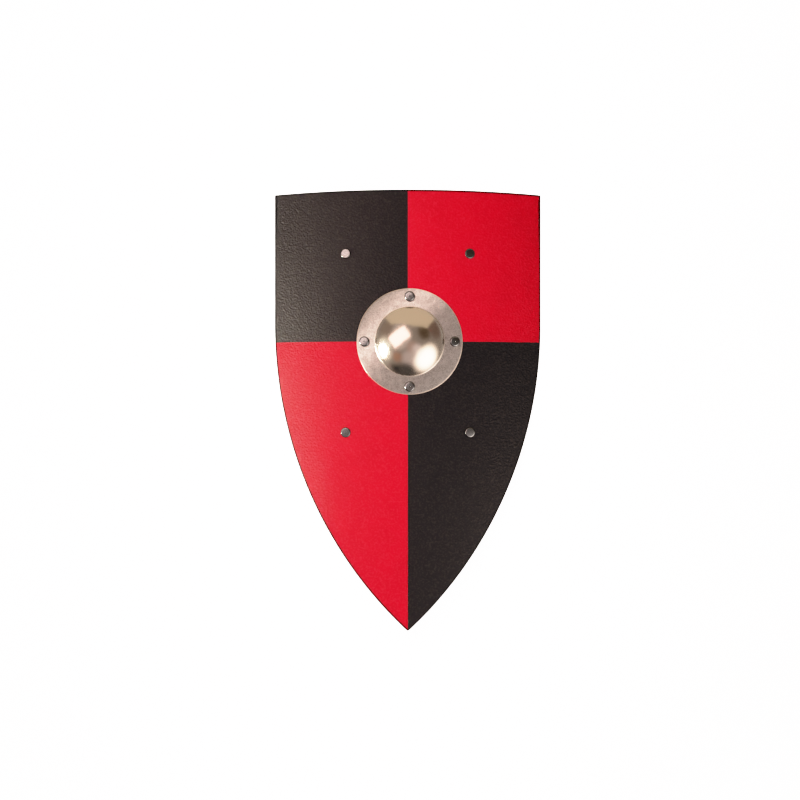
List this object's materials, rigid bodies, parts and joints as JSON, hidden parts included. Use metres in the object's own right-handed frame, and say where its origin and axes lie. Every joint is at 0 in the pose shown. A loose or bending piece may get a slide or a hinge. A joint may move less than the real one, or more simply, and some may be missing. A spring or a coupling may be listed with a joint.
{
  "type": "toy kite shield",
  "caption": "Toy kite shield: bent plywood board painted in red and black quarters, with a riveted steel boss and leather straps.",
  "frame": {"origin": "middle of the whole shield's box in X and Y, on the surface it lies on", "axes": "+Z out of the painted face, +Y towards the straight top edge, -Y towards the tip, +X to the right seen from the front"},
  "size_m": [0.3, 0.4895, 0.0496],
  "materials": {
    "painted_board": "satin paint on the face, red and black quarters; bare plywood edge and back",
    "boss_steel": "rubbed flange, polished dome",
    "rivet_steel": "polished heads, lightly worn",
    "washer_zinc": "dull zinc",
    "strap_leather": "smooth brown leather with burnished edges"
  },
  "bodies": {
    "root": {"board": "painted_board", "boss": "boss_steel", "boss_rivet_top": "rivet_steel", "boss_rivet_right": "rivet_steel", "boss_rivet_bottom": "rivet_steel", "boss_rivet_left": "rivet_steel", "boss_washer_top": "washer_zinc", "boss_washer_right": "washer_zinc", "boss_washer_bottom": "washer_zinc", "boss_washer_left": "washer_zinc", "arm_strap": "strap_leather", "arm_strap_rivet_upper": "rivet_steel", "arm_strap_rivet_lower": "rivet_steel", "arm_strap_washer_upper": "washer_zinc", "arm_strap_washer_lower": "washer_zinc", "hand_strap": "strap_leather", "hand_strap_rivet_upper": "rivet_steel", "hand_strap_rivet_lower": "rivet_steel", "hand_strap_washer_upper": "washer_zinc", "hand_strap_washer_lower": "washer_zinc"}
  },
  "joints": []
}
